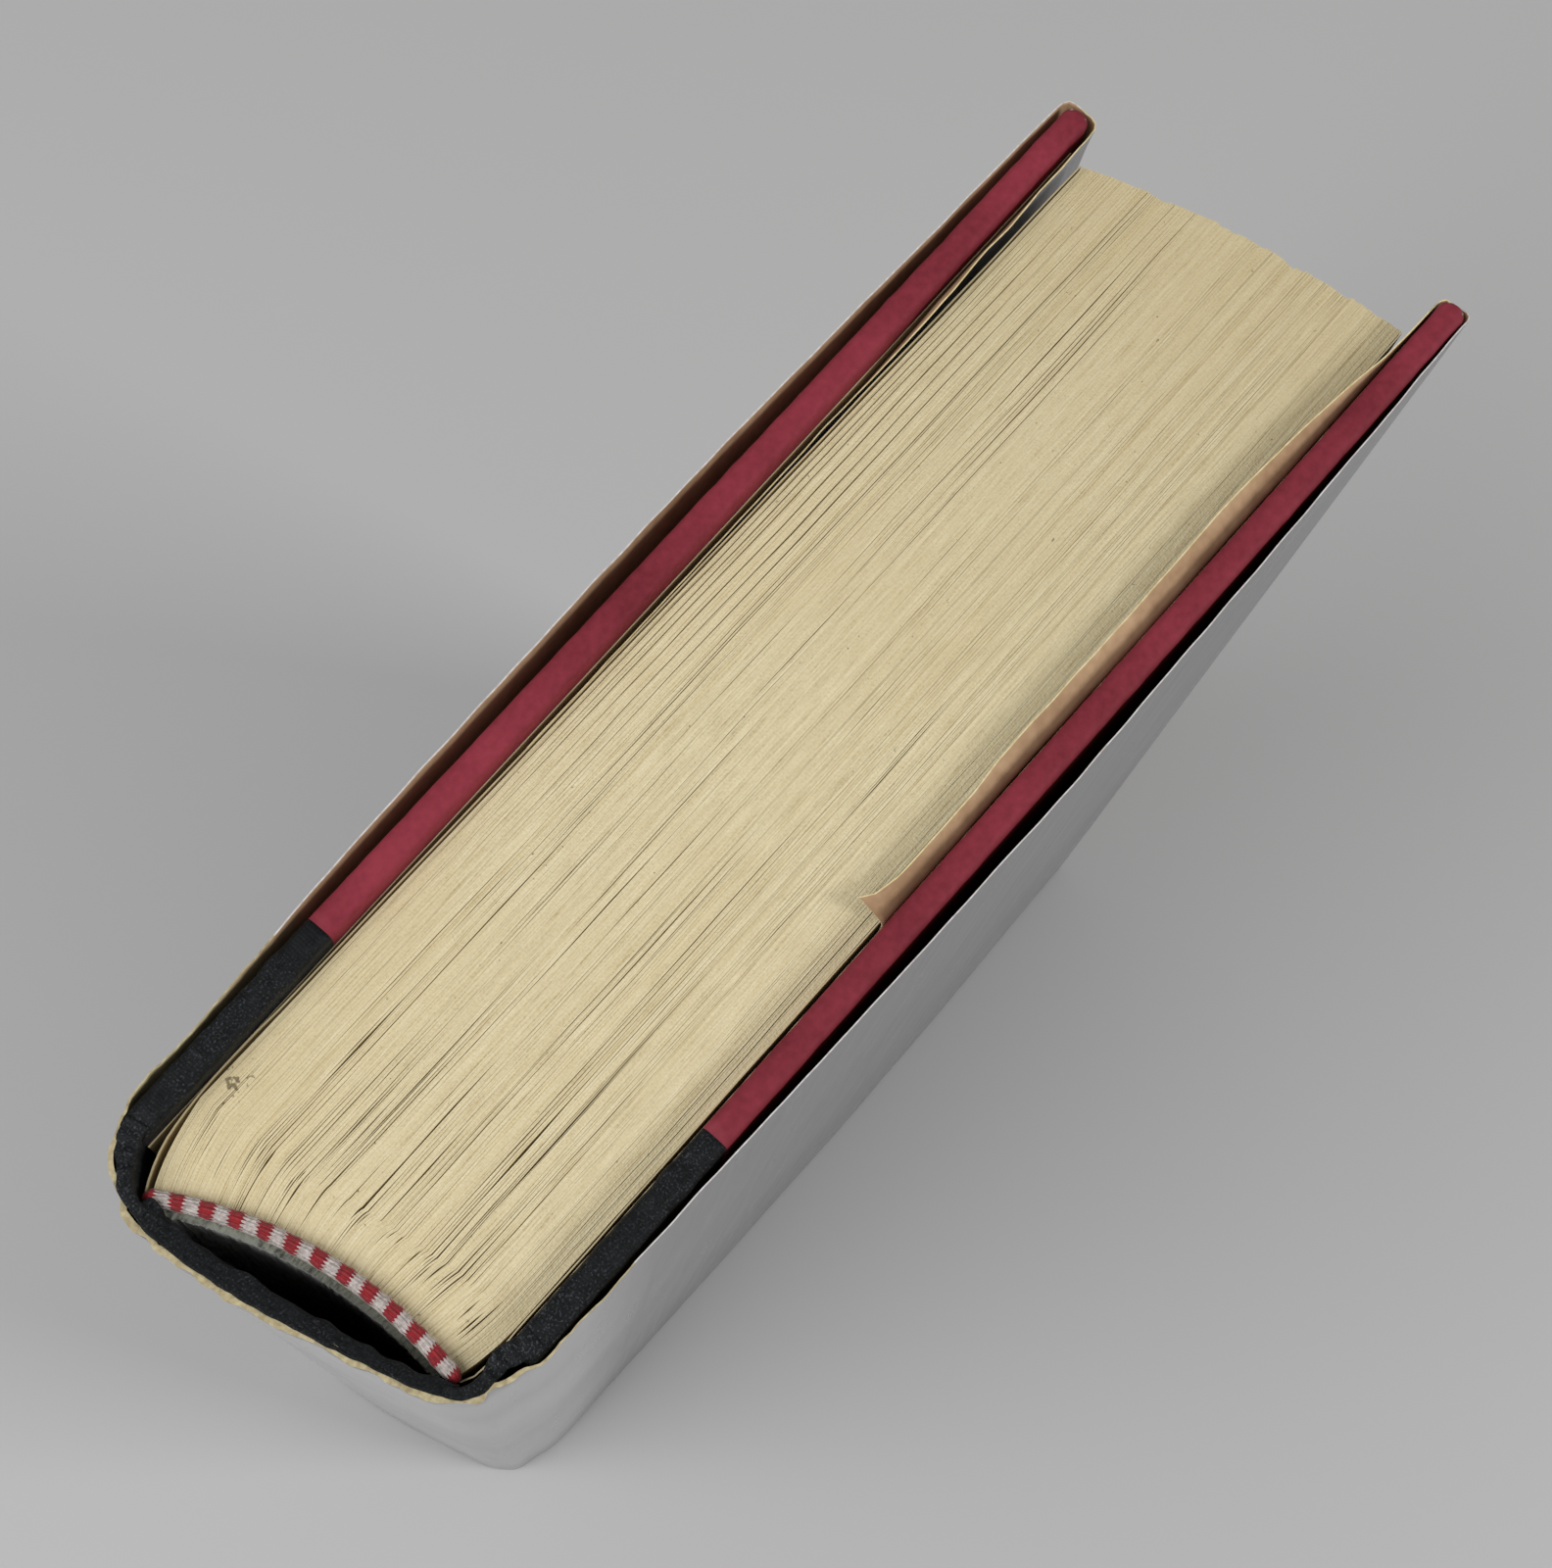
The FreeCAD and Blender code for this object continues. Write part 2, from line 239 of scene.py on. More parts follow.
def cut_leaves():
    """Cut edges of aged paper: dull cream, each leaf a slightly different line, with specks of dirt."""
    material, tree, shader, where = start_material("aged_paper_cut_edges")
    along, across, shade = (add_node(tree, "Attribute", attribute_name=name).outputs["Fac"]
                            for name in ("along", "across", "shade"))
    flow = add_node(tree, "CombineXYZ", {"X": along, "Y": across})
    # Leaf spacing is really 0.1 mm. The lines are drawn 0.3 mm apart and coarser so that they show.
    coarse = add_node(tree, "Mapping", {"Vector": flow, "Scale": (0.02, 1.3, 1)})
    fine = add_node(tree, "Mapping", {"Vector": flow, "Scale": (0.22, 4.2, 1)})
    lines = add_node(tree, "TexNoise", {"Vector": fine, "Scale": 1.0, "Detail": 2.0})
    bands = add_node(tree, "TexNoise", {"Vector": coarse, "Scale": 1.0, "Detail": 2.0})
    fibre, cloud, rare, crumb = (
        add_node(tree, "TexNoise", {"Vector": where, "Scale": scale, "Detail": detail})
        for scale, detail in ((3600.0, 2.0), (38.0, 3.0), (120.0, 0.0), (1500.0, 2.0)))
    ratio = 0.0
    for part, weight in ((lines, 0.48), (bands, 0.26), (fibre, 0.30), (shade, 0.05)):
        ratio = add_node(tree, "Math", {0: part, 1: weight, 2: ratio}, operation="MULTIPLY_ADD")
    tone = add_node(tree, "ValToRGB", {"Fac": ratio},
                    stops=((0.34, "B5A277"), (0.78, "EDE2C2"), (0.46, "D2C39C"), (0.60, "DFD2AC")))
    aged = add_node(tree, "MapRange", {"Value": cloud, "From Min": 0.4, "From Max": 0.75, "To Max": 0.38})
    tone = add_node(tree, "Mix", {0: aged, 6: tone, 7: linear("D3C095")}, data_type="RGBA").outputs[2]
    # Painted shade: the paper is darkened and warmed towards the fore-edge, standing in for the light falling
    # off there
    reach = add_node(tree, "SeparateXYZ", {"Vector": where}).outputs["X"]
    fore_edge_painted_shade = add_node(tree, "MapRange", {"Value": reach, "From Max": 0.075, "To Max": 0.27})
    tone = add_node(tree, "Mix", {0: fore_edge_painted_shade, 6: tone, 7: linear("A8946A")}, data_type="RGBA").outputs[2]
    # Specks of dirt all over, and a crumbled mark near the back shoulder
    grit = add_node(tree, "TexVoronoi", {"Vector": where, "Scale": 300.0})
    speck = add_node(tree, "Math", {0: grit, 1: 0.03}, operation="LESS_THAN")
    speck = add_node(tree, "Math", {0: speck, 1: rare}, operation="MULTIPLY")
    away = add_node(tree, "VectorMath", {0: where, 1: dirt_mark}, operation="DISTANCE").outputs["Value"]
    near = add_node(tree, "MapRange", {"Value": away, "From Min": 0.0032, "From Max": 0.0002, "To Max": 0.25})
    crumb = add_node(tree, "Math", {0: crumb, 1: near}, operation="ADD")
    crumb = add_node(tree, "MapRange", {"Value": crumb, "From Min": 0.73, "From Max": 0.80, "To Max": 0.7})
    speck = add_node(tree, "Math", {0: speck, 1: crumb}, operation="MAXIMUM")
    colour = add_node(tree, "Mix", {0: speck, 6: tone, 7: linear("4A3A28")}, data_type="RGBA").outputs[2]
    relief = add_node(tree, "Math", {0: lines, 1: fibre}, operation="ADD")
    bump = add_node(tree, "Bump", {"Height": relief, "Strength": 0.7, "Distance": 0.00014})
    add_node(tree, shader, {"Base Color": colour, "Normal": bump, "Roughness": 0.88, "Specular IOR Level": 0.2})
    return material


dirt_mark = place(7.0, 37.4, head)
leaves_piece = make_piece("leaves", leaves, [cut_leaves()])
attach(leaves_piece, "book_block")
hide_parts("text_block")

# Free endpapers: the outermost leaf of heavier cream paper on each side of the block. At the spine each one
# stands off the rounded shoulder, and the back one curls away and leaves a dark gap.
flyleaf_thick = 0.16


def smooth_path(points, step):
    """Evenly spaced plan points, about step apart, on a smooth curve through the given ones."""
    points = [Vector(p) for p in points]
    ends = [points[0] * 2 - points[1]] + points + [points[-1] * 2 - points[-2]]
    dense, parts = [], 24
    for a, b, c, d in zip(ends, ends[1:], ends[2:], ends[3:]):
        for k in range(parts):
            t = k / parts
            dense.append((b * 2 + (c - a) * t + (a * 2 - b * 5 + c * 4 - d) * t ** 2
                          + (b * 3 - a - c * 3 + d) * t ** 3) * 0.5)
    dense.append(points[-1])
    travelled = [0.0]
    for a, b in zip(dense, dense[1:]):
        travelled.append(travelled[-1] + (b - a).length)
    count = max(2, round(travelled[-1] / step))
    even, k = [], 0
    for i in range(count + 1):
        want = travelled[-1] * i / count
        while k < len(dense) - 2 and travelled[k + 1] < want:
            k += 1
        span = max(1e-9, travelled[k + 1] - travelled[k])
        even.append(dense[k].lerp(dense[k + 1], (want - travelled[k]) / span))
    return even


def stand_sheet(path, heights, thickness, shift=None):
    """Upright sheet along a plan path, thickened to its left, with its outside, inside and rim faces.

    shift(s, z, point) gives how far a point moves to the left and up, in millimetres.
    """
    mesh_data = bmesh.new()
    bmesh.ops.create_grid(mesh_data, x_segments=len(path) - 1, y_segments=len(heights) - 1, size=0.5)
    faces = list(mesh_data.faces)
    copy = bmesh.ops.extrude_face_region(mesh_data, geom=faces, use_keep_orig=True)
    inner = [f for f in copy["geom"] if isinstance(f, bmesh.types.BMFace)]
    spacing = (path[1] - path[0]).length
    inner_verts = {v for f in inner for v in f.verts}
    for vert in mesh_data.verts:
        i = round((vert.co.x + 0.5) * (len(path) - 1))
        j = round((vert.co.y + 0.5) * (len(heights) - 1))
        run = (path[min(i + 1, len(path) - 1)] - path[max(i - 1, 0)]).normalized()
        left = Vector((-run.y, run.x))
        s, z = i * spacing, heights[j]
        depth = thickness(s, z) if callable(thickness) else thickness
        move, lift = shift(s, z, path[i]) if shift else (0.0, 0.0)
        point = path[i] + left * (move + (depth if vert in inner_verts else 0.0))
        vert.co = place(point.x, point.y, z + lift)
    bmesh.ops.recalc_face_normals(mesh_data, faces=list(mesh_data.faces))
    flat = set(faces) | set(inner)
    rim = [f for f in mesh_data.faces if f not in flat]
    return mesh_data, faces, inner, rim


def endpaper_paper():
    """Uncoated wove endpaper, toned to a warm cream: matt, with a soft felt-side mottle."""
    material, tree, shader, where = start_material("wove_endpaper")
    felt = add_node(tree, "TexNoise", {"Vector": where, "Scale": 900.0, "Detail": 4.0})
    toning = add_node(tree, "TexNoise", {"Vector": where, "Scale": 22.0, "Detail": 3.0})
    mixed = add_node(tree, "Math", {0: felt, 1: 0.35, 2: toning}, operation="MULTIPLY_ADD")
    tone = add_node(tree, "ValToRGB", {"Fac": mixed}, stops=((0.3, "C4B189"), (1.0, "DACCA6")))
    bump = add_node(tree, "Bump", {"Height": felt, "Strength": 0.3, "Distance": 0.00004})
    add_node(tree, shader, {"Base Color": tone, "Normal": bump, "Roughness": 0.85, "Specular IOR Level": 0.25})
    return material


endpaper = endpaper_paper()
flyleaf_heights = [tail, tail + 3, 40, 90, 140, 190, 220, head - 8, head - 3, head - 1, head]
flank = [fore_from.lerp(shoulder_from, k / 12) for k in range(13)]
front_route = [p + Vector((0, -0.05)) for p in flank] + [(6.5, -0.12), (3.8, -0.15), (1.7, 0.1), (0.5, 0.75)]
back_fore = bowed(fore_from, fore_to, fore_bulge, 1.0)
flank = [back_fore.lerp(shoulder_to, k / 12) for k in range(12)]
back_route = [p + Vector((0, 0.26)) for p in flank] + [(12, 39.4), (5.5, 39.25), (-0.8, 38.45), (-4.4, 37.25),
                                                       (-6.7, 36.0)]


def paper_ripple(s, z, point):
    """Slight cockle of a loose sheet near its head."""
    near_head = math.exp((z - head) / 30)
    return 0.1 * near_head * wave(s * 0.09, z * 0.05, 1.0), 0.0


for side, route in (("front", front_route), ("back", back_route)):
    depth = flyleaf_thick if side == "front" else -flyleaf_thick
    mesh_data, *_ = stand_sheet(smooth_path(route, 1.5), flyleaf_heights, depth, paper_ripple)
    flyleaf = make_piece(side + "_flyleaf_sheet", mesh_data, [endpaper])
    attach(flyleaf, "book_block")
    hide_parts(side + "_flyleaf")

# Headband and tailband: silk thread wound in blocks of red and white over a cord core on a cotton tape.
# The bead sits on the edge of the leaves, and the tape is glued down their back.
bead_wide, bead_tall = 1.75, 1.7
tape_thick, tape_tall = 0.4, 12.0
thread = 0.34
strands = 14
block_long = 1.5
band_reach = 0.7
half_chord = (back_to - back_from).length / 2
back_radius = (half_chord ** 2 + back_hollow ** 2) / (2 * back_hollow)
chord_way = (back_to - back_from).normalized()
hollow_way = Vector((chord_way.y, -chord_way.x))
back_centre = back_from.lerp(back_to, 0.5) + hollow_way * (back_hollow - back_radius)
half_angle = math.asin(half_chord / back_radius) + band_reach / back_radius
mid_angle = math.atan2(hollow_way.y, hollow_way.x)


def arc_spot(angle, radius, z):
    """Place at the given angle and radius round the centre of the back's arc."""
    return place(back_centre.x + radius * math.cos(angle), back_centre.y + radius * math.sin(angle), z)


def round_arc(spot):
    """Angle, radius and height of a place round the centre of the back's arc."""
    arm = Vector(((spot.x - corner_x) / mm, (spot.y - corner_y) / mm)) - back_centre
    return math.atan2(arm.y, arm.x), arm.length, spot.z / mm


def bead_mesh(base, up):
    """Bead of wound thread, spun round the centre of the back's arc, with its thread map in millimetres."""
    band = bmesh.new()
    ring = bmesh.ops.create_circle(band, cap_ends=True, segments=20, radius=0.5)["verts"]
    middle = back_radius + bead_wide / 2 - tape_thick
    rise = base + up * (bead_tall / 2)
    for vert in ring:
        radial, high = vert.co.x * bead_wide, vert.co.y * bead_tall
        vert.co = arc_spot(mid_angle - half_angle, middle + radial, rise + high)
    steps = round(2 * half_angle * middle / thread * 4)
    bmesh.ops.spin(band, geom=list(band.faces), cent=place(*back_centre, 0), axis=(0, 0, 1),
                   angle=2 * half_angle, steps=steps, use_duplicate=False)
    along = band.verts.layers.float.new("along")
    around = band.verts.layers.float.new("around")
    for vert in band.verts:
        angle, radius, z = round_arc(vert.co)
        radial, high = radius - middle, z - rise
        s = (angle - mid_angle + half_angle) * middle
        bulge = 1 + 0.02 * abs(math.sin(math.pi * s / thread)) + 0.05 * math.cos(2 * math.pi * s / block_long)
        wander = 0.10 * wave(s * 0.5, 2.0, base)
        end_fade = min(1.0, 0.45 + min(s, 2 * half_angle * middle - s) / 1.2)
        vert.co = arc_spot(angle, middle + wander + radial * bulge * end_fade, rise + high * bulge * end_fade)
        vert[along] = s
        vert[around] = math.atan2(radial, up * high) / math.pi
    for face in band.faces:
        face.smooth = True
    bmesh.ops.recalc_face_normals(band, faces=list(band.faces))
    return band


def wound_thread():
    """Silk thread wound round the core: blocks of red and white whose edges interlock, with a soft sheen."""
    material, tree, shader, where = start_material("red_and_white_silk_thread")
    along, around = (add_node(tree, "Attribute", attribute_name=name).outputs["Fac"]
                     for name in ("along", "around"))
    teeth = add_node(tree, "Math", {0: around, 1: 0.075}, operation="PINGPONG")
    wild = add_node(tree, "TexNoise", {"W": along, "Scale": 1.7}, noise_dimensions="1D")
    offset = add_node(tree, "Math", {0: teeth, 1: 5.5, 2: along}, operation="MULTIPLY_ADD")
    offset = add_node(tree, "Math", {0: wild, 1: 0.5, 2: offset}, operation="MULTIPLY_ADD")
    share = add_node(tree, "Math", {0: offset, 1: 1 / (2 * block_long)}, operation="MULTIPLY")
    share = add_node(tree, "Math", {0: share}, operation="FRACT")
    slant = add_node(tree, "Math", {0: around, 1: 0.12, 2: 0.52}, operation="MULTIPLY_ADD")
    block = add_node(tree, "Math", {0: share, 1: slant}, operation="LESS_THAN")
    edge = add_node(tree, "Math", {0: around, 1: -0.46}, operation="GREATER_THAN")
    block = add_node(tree, "Math", {0: block, 1: edge}, operation="MULTIPLY")
    strand = add_node(tree, "Math", {0: around, 1: strands * math.pi}, operation="MULTIPLY")
    ridge = add_node(tree, "Math", {0: strand}, operation="SINE")
    fluff = add_node(tree, "TexNoise", {"Vector": where, "Scale": 2400.0, "Detail": 3.0})
    red = add_node(tree, "ValToRGB", {"Fac": fluff}, stops=((0.3, "6A0D16"), (0.7, "9C101D")))
    white = add_node(tree, "ValToRGB", {"Fac": fluff}, stops=((0.3, "958B85"), (0.7, "CCC2BE")))
    colour = add_node(tree, "Mix", {0: block, 6: white, 7: red}, data_type="RGBA").outputs[2]
    relief = add_node(tree, "Math", {0: fluff, 1: ridge}, operation="ADD")
    bump = add_node(tree, "Bump", {"Height": relief, "Strength": 0.6, "Distance": 0.00008})
    add_node(tree, shader, {"Base Color": colour, "Normal": bump, "Roughness": 0.6, "Sheen Weight": 0.15,
                            "Specular IOR Level": 0.35})
    return material


def cotton_tape():
    """Woven cotton tape, unbleached and stiff with glue."""
    material, tree, shader, where = start_material("cotton_tape")
    weave = add_node(tree, "TexVoronoi", {"Vector": where, "Scale": 2200.0})
    tone = add_node(tree, "ValToRGB", {"Fac": weave}, stops=((0.1, "8E8778"), (0.7, "C8C0AE")))
    bump = add_node(tree, "Bump", {"Height": weave, "Strength": 0.5, "Distance": 0.00005})
    add_node(tree, shader, {"Base Color": tone, "Normal": bump, "Roughness": 0.9})
    return material


def curved_strip(near, far, low, high, steps, layers):
    """Upright strip between two radii of the back's arc, spun round its centre, with level rows of edges."""
    strip = bmesh.new()
    bmesh.ops.create_grid(strip, x_segments=1, y_segments=layers, size=0.5)
    for vert in strip.verts:
        radius = far if vert.co.x > 0 else near
        z = low + (high - low) * (vert.co.y + 0.5)
        vert.co = arc_spot(mid_angle - half_angle, radius, z)
    bmesh.ops.spin(strip, geom=list(strip.faces), cent=place(*back_centre, 0), axis=(0, 0, 1),
                   angle=2 * half_angle, steps=steps, use_duplicate=False)
    bmesh.ops.recalc_face_normals(strip, faces=list(strip.faces))
    return strip


silk, cotton = wound_thread(), cotton_tape()
for node, base, up in (("headband", head, 1), ("tailband", tail, -1)):
    bead = make_piece(node + "_thread", bead_mesh(base, up), [silk])
    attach(bead, "book_block")
    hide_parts(node)
    ends = sorted((base + up * 0.6, base - up * tape_tall))
    strip = curved_strip(back_radius - tape_thick, back_radius - 0.02, *ends, 40, 6)
    tape = make_piece(node + "_tape", strip, [cotton])
    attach(tape, "book_block")

# Spine lining: open-weave crash and kraft paper glued over the back of the leaves, grey with old glue.
# Its torn ends stand up in a soft fuzzy edge behind the bands.
lining_near, lining_thick, front_sag = 0.42, 1.0, 3.0


def crash_cloth():
    """Glued crash: loose grey-green cotton fibres with a felted surface."""
    material, tree, shader, where = start_material("glued_crash_lining")
    fuzz = add_node(tree, "TexNoise", {"Vector": where, "Scale": 1500.0, "Detail": 5.0})
    clump = add_node(tree, "TexNoise", {"Vector": where, "Scale": 260.0, "Detail": 2.0})
    mixed = add_node(tree, "Math", {0: fuzz, 1: clump}, operation="ADD")
    tone = add_node(tree, "ValToRGB", {"Fac": mixed}, stops=((0.75, "383A35"), (1.25, "7C7E73")))
    bump = add_node(tree, "Bump", {"Height": mixed, "Strength": 0.8, "Distance": 0.0002})
    add_node(tree, shader, {"Base Color": tone, "Normal": bump, "Roughness": 0.95, "Sheen Weight": 0.4})
    return material


lining = curved_strip(back_radius - lining_thick, back_radius - lining_near, tail + 0.2, head + 0.5, 120, 60)
for vert in lining.verts:
    angle, radius, z = round_arc(vert.co)
    outer = radius < back_radius - lining_near - 0.1
    rough = wave(angle * 90, z * 0.9, 4.0)
    radius += (0.22 * rough - 0.12) if outer else 0.0
    rise = 0.35 * wave(angle * 120, 7.0, radius * 3) if abs(z - head) < 1 or abs(z - tail) < 1 else 0.0
    taper = 0.90 + 0.02 * wave(z * 0.2, 1.0, 1.0)
    front_share = max(0.0, min(1.0, 0.6 - 1.6 * (angle - mid_angle) / half_angle))
    rise -= front_sag * front_share * max(0.0, 1 - (head - z) / 40)
    vert.co = arc_spot(mid_angle + (angle - mid_angle) * taper, radius, z + rise)
lining_piece = make_piece("crash_lining", lining, [crash_cloth()])
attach(lining_piece, "book_block")
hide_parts("spine_lining")

# Spine of the case: black book cloth over a card inlay, turned in at head and tail in a soft rolled hem.
# It stands off the leaves' hollow back, and creases where years of opening have bent it.
cover_height = leaves_low.z / mm + leaves_high.z / mm
spine_points = ((-8.75, 35.6), (-9.15, 33.0), (-8.85, 28.5), (-8.05, 23.0), (-6.8, 17.3), (-5.2, 11.3),
                (-3.55, 5.6), (-2.5, 2.4), (-1.3, 0.1), (-0.6, -0.6))
front_hem, back_hem, cloth_thick, turn_in, hem_slope = 1.5, 2.3, 0.95, 15.0, 0.9


def book_cloth():
    """Black starch-filled cotton cloth: a fine plain weave, thread tops lighter from wear and painted
    highlight, with painted glints.
    """
    material, tree, shader, where = start_material("black_book_cloth")
    # Threads are 0.4 mm apart, and a wave's bands lie 2 pi / 20 of its scale apart
    weave = []
    for bands in ("X", "Y", "Z"):
        threads = add_node(tree, "TexWave", {"Vector": where, "Scale": 785.0, "Distortion": 3.0, "Detail": 2.0,
                                             "Detail Scale": 2.0}, bands_direction=bands)
        weave.append(threads.outputs["Fac"])
    cross = add_node(tree, "Math", {0: weave[0], 1: weave[1]}, operation="ADD")
    cross = add_node(tree, "Math", {0: cross, 1: weave[2]}, operation="ADD")
    rub_and_sheen, patch, painted_glint = (add_node(tree, "TexNoise", {"Vector": where, "Scale": scale, "Detail": detail})
                        for scale, detail in ((1300.0, 4.0), (110.0, 3.0), (4200.0, 2.0)))
    # Painted glints: scattered specks of lighter grey in the cloth's colour stand in for light catching its
    # fibres
    painted_glint = add_node(tree, "MapRange", {"Value": painted_glint, "From Min": 0.55, "From Max": 0.75})
    fleck = add_node(tree, "MapRange", {"Value": patch, "From Min": 0.3, "From Max": 0.7, "To Max": 0.9})
    fleck = add_node(tree, "Math", {0: painted_glint, 1: fleck}, operation="MULTIPLY")
    # Thread tops lighter in colour: partly rubbed wear, partly painted highlight
    tops = add_node(tree, "Math", {0: cross, 1: 0.14, 2: rub_and_sheen}, operation="MULTIPLY_ADD")
    base = add_node(tree, "ValToRGB", {"Fac": tops}, stops=((0.4, "050606"), (1.0, "17191B")))
    colour = add_node(tree, "Mix", {0: fleck, 6: base, 7: linear("50555B")}, data_type="RGBA").outputs[2]
    bump = add_node(tree, "Bump", {"Height": tops, "Strength": 0.8, "Distance": 0.00012})
    add_node(tree, shader, {"Base Color": colour, "Normal": bump, "Roughness": 0.6, "Sheen Weight": 0.02,
                            "Specular IOR Level": 0.15})
    return material


black_cloth = book_cloth()
from_rim = (0, 0.35, 0.9, 2, 5, 10, turn_in)
hem_heights = [*from_rim, 40, 80, 120, 160, 200, *(cover_height - z for z in reversed(from_rim))]


def hem_depth(s, z):
    """Thickness of the rolled hem, rounded over at head and tail and single further in."""
    edge = min(z, cover_height - z)
    rolled = back_hem + (front_hem - back_hem) * max(0.0, min(1.0, (s - 12) / 24))
    full = rolled if edge < turn_in + 0.1 else cloth_thick
    return full + 0.6 * wave(s * 0.33, z * 0.2, 2.0)


def cloth_crease(s, z, point):
    """Soft wrinkles of the cloth, strongest at the hems, and the sag of the hem's rim."""
    edge = min(z, cover_height - z)
    near = math.exp(-edge / 8)
    ripple = 0.08 + 0.22 * near
    dip = 0.5 * abs(wave(s * 0.22, 3.0)) + 0.35 * abs(wave(s * 0.8, 9.0))
    return ripple * wave(s * 0.45, z * 0.12, 1.0), -dip * near * (1 if z > cover_height / 2 else -1)


def round_rims(mesh_data, offset, segments):
    """Rounds the rims of a standing cloth at head and tail, and smooths its faces."""
    rims = [e for e in mesh_data.edges if len(e.link_faces) == 2 and e.calc_face_angle(0) > 0.9
            and min(abs(e.verts[0].co.z), abs(e.verts[0].co.z - cover_height * mm)) < 1.2 * mm]
    bmesh.ops.bevel(mesh_data, geom=rims, offset=offset * mm, segments=segments, profile=0.5, affect="EDGES",
                    material=-1, clamp_overlap=True)
    for face in mesh_data.faces:
        face.smooth = True


spine_route = smooth_path(spine_points, 0.5)
hem_mesh, _, inside, _ = stand_sheet(spine_route, hem_heights, hem_depth, cloth_crease)
for vert in {v for face in inside for v in face.verts}:
    z = vert.co.z / mm
    slope = hem_slope * math.exp(-min(z, cover_height - z) / 3)
    vert.co.z += -slope * mm if z > cover_height / 2 else slope * mm
round_rims(hem_mesh, 0.62, 4)
spine_cloth = make_piece("spine_cloth_hem", hem_mesh, [black_cloth])
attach(spine_cloth, "book_block")
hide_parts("spine_cloth")

# Joints: the same cloth goes on over the gap between the spine and each board, pressed into a groove.
# At head and tail its turned-in double layer bunches against the shoulder of the leaves.
front_joint = ((-1.2, 1.2), (-0.4, -0.3), (0.9, -1.15), (2.2, -1.2), (3.6, -1.0), (5.0, -1.1), (6.3, -1.6),
               (7.4, -2.1), (8.4, -2.2))
back_joint = ((-8.0, 34.2), (-8.1, 35.6), (-7.6, 37.0), (-6.7, 38.2), (-5.6, 39.3), (-4.4, 40.2),
              (-3.2, 40.8), (-2.0, 41.1))


def joint_depth(s, z):
    """Thickness of the bunched cloth, growing towards the board that it wraps."""
    edge = min(z, cover_height - z)
    bunch = 1.0 if edge < turn_in + 0.1 else 0.6
    return (1.0 + 0.16 * s) * bunch + 0.45 * wave(s * 0.7, z * 0.2, 6.0)


def joint_crease(s, z, point):
    """Centres the bunched cloth on its route, wrinkles it, and lets its rims sag unevenly."""
    sag = 0.9 * abs(wave(s * 0.6, 8.0)) * math.exp(-min(z, cover_height - z) / 3)
    wrinkle = 0.2 * wave(point.x * 0.5, point.y * 0.5, z * 0.15)
    return wrinkle - joint_depth(s, z) / 2, -sag if z > cover_height / 2 else sag


for side, route in (("front", front_joint), ("back", back_joint)):
    joint_mesh, *_ = stand_sheet(smooth_path(route, 0.45), hem_heights, joint_depth, joint_crease)
    round_rims(joint_mesh, 0.4, 3)
    joint_cloth = make_piece(side + "_joint_cloth", joint_mesh, [black_cloth])
    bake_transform(joint_cloth)

# Boards: grey millboard cores, covered with black cloth at the spine side and raspberry paper over the rest.
# The turned-in edges are rounded by the press, and the endpaper's glued half covers the inside.


def raspberry_paper():
    """Dyed uncoated cover paper over board: matt raspberry, rubbed paler and pinker along its edges."""
    material, tree, shader, where = start_material("raspberry_cover_paper")
    fibre = add_node(tree, "TexNoise", {"Vector": where, "Scale": 1100.0, "Detail": 5.0})
    cloud = add_node(tree, "TexNoise", {"Vector": where, "Scale": 60.0, "Detail": 3.0})
    mixed = add_node(tree, "Math", {0: fibre, 1: 0.5, 2: cloud}, operation="MULTIPLY_ADD")
    tone = add_node(tree, "ValToRGB", {"Fac": mixed}, stops=((0.5, "6B1A26"), (1.0, "90303F")))
    edge = add_node(tree, "NewGeometry").outputs["Pointiness"]
    worn = add_node(tree, "MapRange", {"Value": edge, "From Min": 0.52, "From Max": 0.62, "To Max": 0.25})
    colour = add_node(tree, "Mix", {0: worn, 6: tone, 7: linear("9C4C58")}, data_type="RGBA").outputs[2]
    bump = add_node(tree, "Bump", {"Height": fibre, "Strength": 0.35, "Distance": 0.00005})
    add_node(tree, shader, {"Base Color": colour, "Normal": bump, "Roughness": 0.75, "Specular IOR Level": 0.3})
    return material


def matted_fibres(name, scale, detail, dark, light, roughness):
    """Matt surface of matted fibres, such as pasted millboard or the furred edge of a cut sheet."""
    material, tree, shader, where = start_material(name)
    fibre = add_node(tree, "TexNoise", {"Vector": where, "Scale": scale, "Detail": detail})
    tone = add_node(tree, "ValToRGB", {"Fac": fibre}, stops=((0.3, dark), (0.7, light)))
    add_node(tree, shader, {"Base Color": tone, "Roughness": roughness, "Specular IOR Level": 0.2})
    return material


cloth_from, cloth_reach = {"front": -1.5, "back": -0.7}, 27.0
board_wide, board_thick = 155.5, 3.4
cover_slack, core_inset = 0.1, 0.6
card_inset, card_thick, card_depth = 3.5, 0.35, 0.3
head_round, spine_round, fore_round = 1.0, 1.2, 1.5
frames = {"front": (Vector((7.45, -3.94)), -0.3099, 1), "back": (Vector((-3.2, 42.74)), 1.2600, -1)}


def beside(side, u, v):
    """Plan point of a board's own frame: u towards the fore-edge, v inwards from its outer face."""
    corner, splay, inward = frames[side]
    turn = math.radians(splay)
    along, across = Vector((math.cos(turn), math.sin(turn))), Vector((-math.sin(turn), math.cos(turn)))
    return corner + along * u + across * (inward * v)


